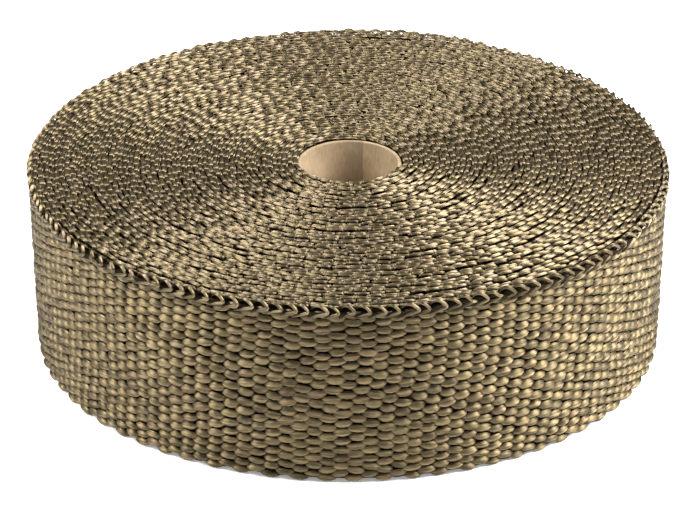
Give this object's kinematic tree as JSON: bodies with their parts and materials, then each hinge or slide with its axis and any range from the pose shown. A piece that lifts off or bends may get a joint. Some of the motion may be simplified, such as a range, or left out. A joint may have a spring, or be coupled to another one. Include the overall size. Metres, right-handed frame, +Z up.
{
  "type": "exhaust heat wrap roll",
  "caption": "Roll of woven basalt heat-wrap tape lying flat on its edge, wound on a thin cardboard core with an open bore; the turns show as rings on both ends.",
  "frame": {"origin": "centre of the underside of the roll, on its winding axis, on the floor it lies on", "axes": "+Z up along the winding axis; -Y towards the side that the picture shows, +X to its right"},
  "size_m": [0.1678, 0.1678, 0.05],
  "materials": {
    "basalt_weave": "plain-woven basalt yarn with a soft gold-brown filament sheen",
    "core_board": "spiral-wound brown kraft board, matt"
  },
  "bodies": {
    "root": {"wrap_coil": "basalt_weave", "core_tube": "core_board"}
  },
  "joints": []
}
